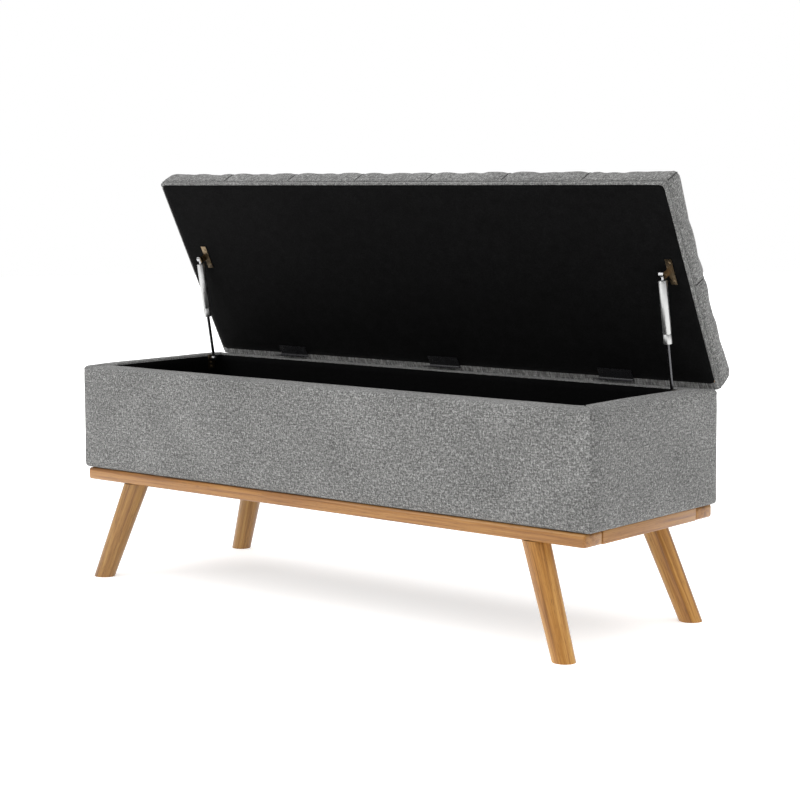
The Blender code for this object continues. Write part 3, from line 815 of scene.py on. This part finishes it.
    # Dark lines laid into the seam grooves are painted shade: they stand in for the shadow of each seam's fold,
    # in place of thread.
    seam_shade_path = coords(obj) + normals(obj) * 0.35 * MM
    close_holes(obj)
    wall_rings = range(len(turned), rings)
    column = {index: [r * around + k for r in wall_rings] for k, index in enumerate(ring_index)}
    lines = [column[i, 0] + [grid[i, j] for j in range(1, ny - 1)] + column[i, ny - 1][::-1] for i in x_seams]
    for j in y_seams:
        lines.append(column[0, j] + [grid[i, j] for i in range(1, nx - 1)] + column[nx - 1, j][::-1])
    lines += [column[i, j][:-3] for i in (0, nx - 1) for j in (0, ny - 1)]
    thread_and_seam_shade = merged([tube(seam_shade_path[line], 0.8 * MM, 6) for line in lines])
    seam_shade_and_stitches = add_piece("lid_seam_thread", *thread_and_seam_shade[:2], DARK_THREAD_AND_SEAM_SHADE, "lid")
    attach(obj, "lid")
    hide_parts("lid_cushion")
    # The welt is piping sewn into the seam between the turned edge and the boxing.
    inset = 0.5 * MM
    path = []
    corner = 3 * MM
    for cx, cy, start in ((hx, -hy, -90), (hx, hy, 0), (-hx, hy, 90), (-hx, -hy, 180)):
        centre = (math.copysign(hx - inset - corner, cx), math.copysign(hy - inset - corner, cy))
        path += [(*p, WELT_HEIGHT) for p in arc(centre, corner, start, start + 90, 4)]
    dense = []
    for first, second in zip(path, path[1:] + path[:1]):
        steps = max(1, round(math.dist(first, second) / (8 * MM)))
        start, step = np.array(first), np.array(second) - np.array(first)
        dense += [tuple(start + step * k / steps) for k in range(steps)]
    dense = np.array(dense)
    dense[:, 1] += LID_MIDDLE
    dense[:, 2] += ripple(dense, 0.05, 12) * 0.25 * MM
    rings_made, tube_faces, tube_uv = tube(dense, 1.3 * MM, 10, True)
    welt = add_piece("lid_welt", rings_made, tube_faces, LINEN, uv=tube_uv, matrix=LID)
    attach(welt, "lid")
    # A row of stitches runs above it.
    above = dense + (0, 0, 2.0 * MM)
    ends = [above[k : k + 2] * 0.75 + above[k : k + 1] * 0.25 for k in range(len(above) - 1)]
    stitches = [tube(pair, 0.55 * MM, 6) for pair in ends]
    row = merged(stitches)
    seam_shade_and_stitches = add_piece("lid_welt_stitches", *row[:2], DARK_THREAD_AND_SEAM_SHADE, "lid", matrix=LID)


make_cushion()


# ---------------------------------------------------------------- linings


def soft_panel(name, half_x, half_y, centre, thickness, corner, step, wave, seed, material, matrix):
    """A stretched cloth panel with rounded corners, lying in its own xy plane."""
    nx, ny = round(2 * half_x / step), round(2 * half_y / step)
    xs, ys = np.linspace(-half_x, half_x, nx + 1), np.linspace(-half_y, half_y, ny + 1)
    points = []
    for x in xs:
        for y in ys:
            px, py = x, y
            dx, dy = abs(x) - (half_x - corner), abs(y) - (half_y - corner)
            if dx > 0 and dy > 0:
                longest = max(dx, dy)
                shrink = longest / math.hypot(dx, dy)
                px = math.copysign(half_x - corner + dx * shrink, x)
                py = math.copysign(half_y - corner + dy * shrink, y)
            points.append((px + centre[0], py + centre[1], centre[2]))
    points = np.array(points)
    points[:, 2] += wave * ripple(points, 0.09, seed) + 0.4 * wave * ripple(points, 0.03, seed + 1)
    row = ny + 1
    first_corners = [i * row + j for i in range(nx) for j in range(ny)]
    faces = [(c, c + row, c + row + 1, c + 1) for c in first_corners]
    uv = points[:, :2].copy()
    obj = add_piece(name, points, faces, material, uv=uv, matrix=matrix)
    thicken = obj.modifiers.new("cloth", "SOLIDIFY")
    thicken.thickness = thickness
    thicken.offset = 1
    return obj


LINING_OVERLAP = 2.4 * MM  # past the board's rear edge, onto the turned fabric
half_lx = lining_high[0] - 0.2 * MM
half_ly = (lining_high[1] + LINING_OVERLAP - lining_low[1]) / 2
lining_centre = (0, (lining_high[1] + LINING_OVERLAP + lining_low[1]) / 2, lining_low[2] - 0.15 * MM)
cloth = {"thickness": 0.7 * MM, "corner": 9 * MM, "step": 9 * MM, "wave": 0.2 * MM, "seed": 21}
cloth["material"] = LINING
lid_lining = soft_panel("lid_lining_cloth", half_lx, half_ly, lining_centre, **cloth, matrix=LID)
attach(lid_lining, "lid")
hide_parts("lid_lining")

dust_low, dust_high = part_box("dust_sheet")
half_dx, half_dy = (dust_high.x - dust_low.x) / 2, (dust_high.y - dust_low.y) / 2
dust_centre = (0, (dust_high.y + dust_low.y) / 2, dust_low.z + 0.5 * MM)
cloth = {"thickness": 0.5 * MM, "corner": 3 * MM, "step": 12 * MM, "wave": 0.35 * MM, "seed": 33}
cloth["material"] = DUST
dust = soft_panel("dust_sheet_cloth", half_dx, half_dy, dust_centre, **cloth, matrix=None)
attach(dust, "root")
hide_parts("dust_sheet")


def make_bag():
    """The sewn black bag that lines the box: floor and four walls, with soft corners."""
    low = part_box("box_lining")[0]
    hx, hy = HALF_X - WALL - 0.9 * MM, HALF_Y - WALL - 0.9 * MM
    floor, rim = low.z + 2.2 * MM, HIGH - 4 * MM
    corner = 7 * MM
    loop = []
    for sx, sy, start in ((1, -1, -90), (1, 1, 0), (-1, 1, 90), (-1, -1, 180)):
        loop += arc((sx * (hx - corner), sy * (hy - corner)), corner, start, start + 90, 4)
    dense = []
    for a, b in zip(loop, loop[1:] + loop[:1]):
        steps = max(1, round(math.dist(a, b) / (14 * MM)))
        dense += [(a[0] + (b[0] - a[0]) * k / steps, a[1] + (b[1] - a[1]) * k / steps) for k in range(steps)]
    dense = np.array(dense)
    points = []
    for z in np.linspace(rim, floor + corner, 15):
        points += [(x, y, z) for x, y in dense]
    for a in (30, 60, 90):
        inset = corner * (1 - math.cos(math.radians(a)))
        z = floor + corner * (1 - math.sin(math.radians(a)))
        for x, y in dense:
            points.append((x * (hx - inset) / hx, y * (hy - inset) / hy, z))
    for share in (0.96, 0.85, 0.6, 0.3):
        points += [(x * share * (hx - corner) / hx, y * share * (hy - corner) / hy, floor) for x, y in dense]
    points = np.array(points)
    points[:, 1] += MIDDLE_Y
    count = len(dense)
    rows = len(points) // count
    faces = []
    for r in range(rows - 1):
        for k in range(count):
            m = (k + 1) % count
            faces.append((r * count + k, r * count + m, (r + 1) * count + m, (r + 1) * count + k))
    faces.append(tuple((rows - 1) * count + k for k in range(count)))
    # Its felt is darkened to paint the shade inside the box.
    obj = add_piece("box_lining_bag", points, faces, BAG_FELT_PAINTED_SHADE, uv=points[:, :2] + points[:, 2:3])
    face_outward(obj)
    here = coords(obj)
    wave = ripple(here, 0.10, 41) * 0.6 * MM + ripple(here, 0.035, 44) * 0.25 * MM
    push = np.maximum(wave, -0.2 * MM)
    set_coords(obj, here + normals(obj) * push[:, None])
    thicken = obj.modifiers.new("cloth", "SOLIDIFY")
    thicken.thickness = 1.0 * MM
    thicken.offset = 1
    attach(obj, "root")
    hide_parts("box_lining")


make_bag()


# ---------------------------------------------------------------- carried-over CAD nodes


def edge_smoothing():
    """Geometry nodes that join an imported mesh's split vertices and shade it smooth, except at sharp edges."""
    group = bpy.data.node_groups.new("smooth_by_angle", "GeometryNodeTree")
    group.interface.new_socket("Geometry", in_out="INPUT", socket_type="NodeSocketGeometry")
    group.interface.new_socket("Geometry", in_out="OUTPUT", socket_type="NodeSocketGeometry")
    add = group.nodes.new
    start, end = add("NodeGroupInput"), add("NodeGroupOutput")
    weld = add("GeometryNodeMergeByDistance")
    weld.inputs["Distance"].default_value = 1e-6
    faces = add("GeometryNodeSetShadeSmooth")
    faces.domain = "FACE"
    edges = add("GeometryNodeSetShadeSmooth")
    edges.domain = "EDGE"
    angle = add("GeometryNodeInputMeshEdgeAngle")
    small = add("FunctionNodeCompare")
    small.data_type = "FLOAT"
    small.operation = "LESS_THAN"
    small.inputs[1].default_value = math.radians(34)
    link = group.links.new
    link(start.outputs[0], weld.inputs["Geometry"])
    link(weld.outputs[0], faces.inputs["Geometry"])
    link(faces.outputs[0], edges.inputs["Geometry"])
    link(angle.outputs[0], small.inputs[0])
    link(small.outputs[0], edges.inputs["Shade Smooth"])
    link(edges.outputs[0], end.inputs[0])
    return group


SMOOTHING = edge_smoothing()


def finish_node(name, material):
    obj = nodes[name]
    for slot in obj.material_slots:
        slot.material = material
    for kind in ("custom_normal", "sharp_face"):
        if kind in obj.data.attributes:
            obj.data.attributes.remove(obj.data.attributes[kind])
    step = obj.modifiers.new("smooth_by_angle", "NODES")
    step.node_group = SMOOTHING


WOOD_GLOSS = 0.5
RAIL_TINT = (0.74, 0.64, 0.38)
LEG_RUN = (0.073, 0.0235, 0.187)  # from a foot in towards the middle, in towards the middle, and up
# Each leg's stain is scaled by its own factor: painted light and shade, darker on the left legs and lighter on
# the right ones, as the light falls.
LEG_PAINTED_LIGHT = {"front_left_leg": 0.66, "front_right_leg": 1.06, "rear_left_leg": 0.74, "rear_right_leg": 1.10}
for i, name in enumerate(("front_rail", "rear_rail")):
    finish_node(name, timber(name + "_wood", (1, 0, 0), 3.0 + i, RAIL_TINT, WOOD_GLOSS))
for i, name in enumerate(("left_rail", "right_rail")):
    finish_node(name, timber(name + "_wood", (0, 1, 0), 7.0 + i, RAIL_TINT, WOOD_GLOSS))
for i, (name, shade) in enumerate(LEG_PAINTED_LIGHT.items()):
    lean_x = -1 if "left" in name else 1
    lean_y = -1 if "front" in name else 1
    along = (-LEG_RUN[0] * lean_x, -LEG_RUN[1] * lean_y, LEG_RUN[2])
    # The leg's factor paints its light and shade into the stain's colour; the other two factors give the stain
    # its yellow.
    tint = (shade, shade * 0.94, shade * 0.55)
    finish_node(name, timber(name + "_wood", along, 11.0 + i, tint, WOOD_GLOSS))
for i, name in enumerate(n for n in nodes if n.endswith("_panel") or n == "lid_board"):
    finish_node(name, plywood(name + "_ply", (1, 0, 0), 17.0 + i))

BLACK_STEEL = metal("black_steel", (0.018, 0.018, 0.020), 0.26, 1.0, 0.3, 0.5, (500, 80, 500), 0.2)
SILVER = metal("silver_paint", (0.50, 0.50, 0.495), 0.30, 2.0, 0.03, 0.95, (900, 900, 60))
CHROME = metal("chrome", (0.42, 0.42, 0.425), 0.18, 3.0, 0.10, 1.0, (1200, 1200, 90))
ROD_STEEL = metal("dark_rod_steel", (0.10, 0.10, 0.105), 0.16, 6.0, 0.10, 1.0, (1500, 1500, 60))
ZINC = metal("yellow_zinc", (0.21, 0.155, 0.095), 0.30, 4.0, 0.35, 1.0, (300, 900, 300))
POLYMER = metal("black_polymer", (0.015, 0.015, 0.016), 0.45, 5.0, 0.2, 0.0)
for name in nodes:
    if "_leaf" in name:
        finish_node(name, BLACK_STEEL)
    elif "_rod" in name:
        finish_node(name, ROD_STEEL)
    elif "hinge_pin" in name or "stud" in name or "socket" in name:
        finish_node(name, CHROME)
    elif "_tube" in name:
        finish_node(name, SILVER)
    elif "gland" in name or "piston" in name:
        finish_node(name, POLYMER)
    elif "bracket" in name or "bolt" in name:
        finish_node(name, ZINC)


# ---------------------------------------------------------------- trim


def box_corner_stitches():
    """The dark running stitch down each upright corner seam of the box."""
    inset, stitch, pitch = 3.7 * MM, 5 * MM, 8 * MM
    parts = []
    for sx in (-1, 1):
        for sy in (-1, 1):
            x, y = sx * (HALF_X - inset), MIDDLE_Y + sy * (HALF_Y - inset)
            for z in np.arange(LOW + 12 * MM, HIGH - 14 * MM, pitch):
                parts.append(tube([(x, y, z), (x, y, z + stitch / 2), (x, y, z + stitch)], 0.8 * MM, 6))
    thread_and_seam_shade = merged(parts)
    piece = add_piece("box_corner_stitches", *thread_and_seam_shade[:2], DARK_THREAD_AND_SEAM_SHADE, "root")


def screw_head(place, facing, radius, height):
    """A domed head with a cross recess, as rings about its axis. place is the middle of its underside."""
    facing = Vector(facing).normalized()
    turn = facing.to_track_quat("Z", "Y").to_matrix()
    sides, profile = 24, [(1.0, 0.0), (1.0, 0.25), (0.9, 0.62), (0.68, 0.88), (0.45, 0.97), (0.22, 1.0)]
    points = []
    for r, h in profile:
        for k in range(sides):
            a = 2 * math.pi * k / sides
            slot = max(0.0, math.cos(4 * a)) ** 4 * (0.4 if 0.2 < r < 0.5 else 0.0)
            rim_point = Vector((r * radius * math.cos(a), r * radius * math.sin(a), (h - slot) * height))
            points.append(Vector(place) + turn @ rim_point)
    points.append(Vector(place) + turn @ Vector((0, 0, 0.45 * height)))
    faces = [tuple(range(sides))[::-1]]
    for r in range(len(profile) - 1):
        for k in range(sides):
            m = (k + 1) % sides
            faces.append((r * sides + k, r * sides + m, (r + 1) * sides + m, (r + 1) * sides + k))
    last = (len(profile) - 1) * sides
    faces += [(last + k, last + (k + 1) % sides, len(points) - 1) for k in range(sides)]
    return points, faces, [(0.0, 0.0)] * len(points)


def make_screws():
    holes = (-0.36, 0, 0.36)  # shares of a leaf's width
    under = LID.to_3x3() @ Vector((0, 0, -1))
    for place in ("left", "middle", "right"):
        low, high = lid_box(f"{place}_hinge_lid_leaf")
        middle, width = (low[0] + high[0]) / 2, high[0] - low[0]
        heads = [LID @ Vector((middle + h * width, -12 * MM, 0.95 * MM)) for h in holes]
        screws = merged([screw_head(p, under, 1.7 * MM, 0.65 * MM) for p in heads])
        piece = add_piece(f"{place}_hinge_screws", *screws[:2], BLACK_STEEL, "lid")
    for side, outward in (("left", -1), ("right", 1)):
        low, high = lid_box(f"{side}_lid_bracket")
        middle = (low[1] + high[1]) / 2
        plate_low = high[2] - 1.5 * MM
        heads = [LID @ Vector((low[0] + 7.8 * MM, middle + d, plate_low)) for d in (-16.8 * MM, 16.8 * MM)]
        screws = merged([screw_head(p, under, 2.9 * MM, 0.95 * MM) for p in heads])
        piece = add_piece(f"{side}_lid_bracket_screws", *screws[:2], ZINC, "lid")
        low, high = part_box(f"{side}_wall_bracket")
        inner = low.x if outward > 0 else high.x
        heads = [Vector((inner, (low.y + high.y) / 2, low.z + d)) for d in (4 * MM, 13 * MM)]
        screws = merged([screw_head(p, (-outward, 0, 0), 2.6 * MM, 1.0 * MM) for p in heads])
        piece = add_piece(f"{side}_wall_bracket_screws", *screws[:2], ZINC, "root")


def make_staples():
    """The staples that hold the dust sheet to the frame, a row along each edge."""
    low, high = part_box("dust_sheet")
    half, inset, pitch = 4.5 * MM, 7 * MM, 62 * MM
    parts = []

    def add(x, y, dx, dy):
        route = [(-1, 1.2 * MM), (-1, -0.5 * MM), (1, -0.5 * MM), (1, 1.2 * MM)]
        path = [(x + dx * k * half, y + dy * k * half, low.z + h) for k, h in route]
        parts.append(tube(path, 0.45 * MM, 6))

    for x in np.arange(low.x + pitch / 2, high.x, pitch):
        add(x, low.y + inset, 1, 0)
        add(x, high.y - inset, 1, 0)
    for y in np.arange(low.y + pitch / 2, high.y, pitch):
        add(low.x + inset, y, 0, 1)
        add(high.x - inset, y, 0, 1)
    staples = merged(parts)
    piece = add_piece("dust_sheet_staples", *staples[:2], SILVER, "root")


box_corner_stitches()
make_screws()
make_staples()


# ---------------------------------------------------------------- stage


def make_stage():
    scene = bpy.context.scene
    scene.view_settings.view_transform = "Standard"
    scene.view_settings.look = "None"
    t = Tree("pale_floor")
    at = t.node("ShaderNodeTexCoord", out=3)
    shade = t.spread(t.noise(t.scaled(at, (2, 2, 2)), 1, 3, 0.5), 0.3, 0.7, 0.90, 0.93)
    colour = t.mix(1.0, rgba(1, 1, 1), shade, "MULTIPLY")
    glow = {"Emission_Color": rgba(1, 1, 1), "Emission_Strength": 0.5}
    floor_look = t.finish(colour, 0.8, Specular_IOR_Level=0.1, **glow)
    ring = [(12 * math.cos(a), 12 * math.sin(a), 0) for a in np.linspace(0, 2 * math.pi, 97)[:-1]]
    floor = add_piece("floor", ring, [tuple(range(96))], floor_look)

    world = bpy.data.worlds.new("studio")
    scene.world = world
    world.use_nodes = True
    tree = world.node_tree
    tree.nodes.clear()
    out = tree.nodes.new("ShaderNodeOutputWorld")
    fill, seen = tree.nodes.new("ShaderNodeBackground"), tree.nodes.new("ShaderNodeBackground")
    fill.inputs[0].default_value = rgba(1, 1, 1)
    seen.inputs[0].default_value = rgba(1, 1, 1)
    seen.inputs[1].default_value = 1.0
    # The fill dims towards one fixed side of the room, the photographer's, so that polished metal shows a dark
    # core between bright flanks.
    towards = tree.nodes.new("ShaderNodeVectorMath")
    towards.operation = "DOT_PRODUCT"
    tree.links.new(tree.nodes.new("ShaderNodeTexCoord").outputs["Generated"], towards.inputs[0])
    towards.inputs[1].default_value = (0.654, -0.757, 0.0)
    dim = tree.nodes.new("ShaderNodeMapRange")
    dim.interpolation_type = "SMOOTHSTEP"
    for i, value in ((1, 0.80), (2, 0.98), (3, 0.60), (4, 0.12)):
        dim.inputs[i].default_value = value
    tree.links.new(towards.outputs["Value"], dim.inputs[0])
    tree.links.new(dim.outputs[0], fill.inputs[1])
    path = tree.nodes.new("ShaderNodeLightPath")
    blend = tree.nodes.new("ShaderNodeMixShader")
    tree.links.new(path.outputs["Is Camera Ray"], blend.inputs[0])
    tree.links.new(fill.outputs[0], blend.inputs[1])
    tree.links.new(seen.outputs[0], blend.inputs[2])
    tree.links.new(blend.outputs[0], out.inputs[0])

    def softbox(name, place, target, size, power):
        data = bpy.data.lights.new(name, "AREA")
        data.shape = "RECTANGLE"
        data.size, data.size_y = size
        data.energy = power
        lamp = bpy.data.objects.new(name, data)
        scene.collection.objects.link(lamp)
        lamp.location = place
        lamp.rotation_euler = (Vector(target) - Vector(place)).to_track_quat("-Z", "Y").to_euler()

    softbox("front_left", (-2.2, -3.8, 1.9), (0, 0, 0.3), (2.4, 2.4), 36)
    softbox("right", (3.6, 0.5, 1.5), (0, 0, 0.3), (0.8, 1.8), 1.5)
    data = bpy.data.lights.new("overhead", "SUN")
    data.energy = 2.3
    data.angle = math.radians(100)
    lamp = bpy.data.objects.new("overhead", data)
    scene.collection.objects.link(lamp)
    lamp.rotation_euler = (math.radians(12), 0, 0)


def make_camera():
    place, azimuth, down, roll = (2.3588, MIDDLE_Y - 2.7196, 0.7755), 40.339, 6.505, -0.343
    a, e, r = (math.radians(v) for v in (azimuth, down, roll))
    ahead = Vector((-math.sin(a) * math.cos(e), math.cos(a) * math.cos(e), -math.sin(e)))
    right = Vector((math.cos(a), math.sin(a), 0))
    up = right.cross(ahead)
    tilted_right = right * math.cos(r) + up * math.sin(r)
    tilted_up = up * math.cos(r) - right * math.sin(r)
    data = bpy.data.cameras.new("camera")
    data.lens = 89.41
    data.sensor_width = 36
    data.clip_start, data.clip_end = 0.05, 60
    camera = bpy.data.objects.new("camera", data)
    bpy.context.scene.collection.objects.link(camera)
    turn = Matrix((tilted_right, tilted_up, -ahead)).transposed()
    camera.matrix_world = Matrix.Translation(place) @ turn.to_4x4()
    bpy.context.scene.camera = camera


make_stage()
make_camera()
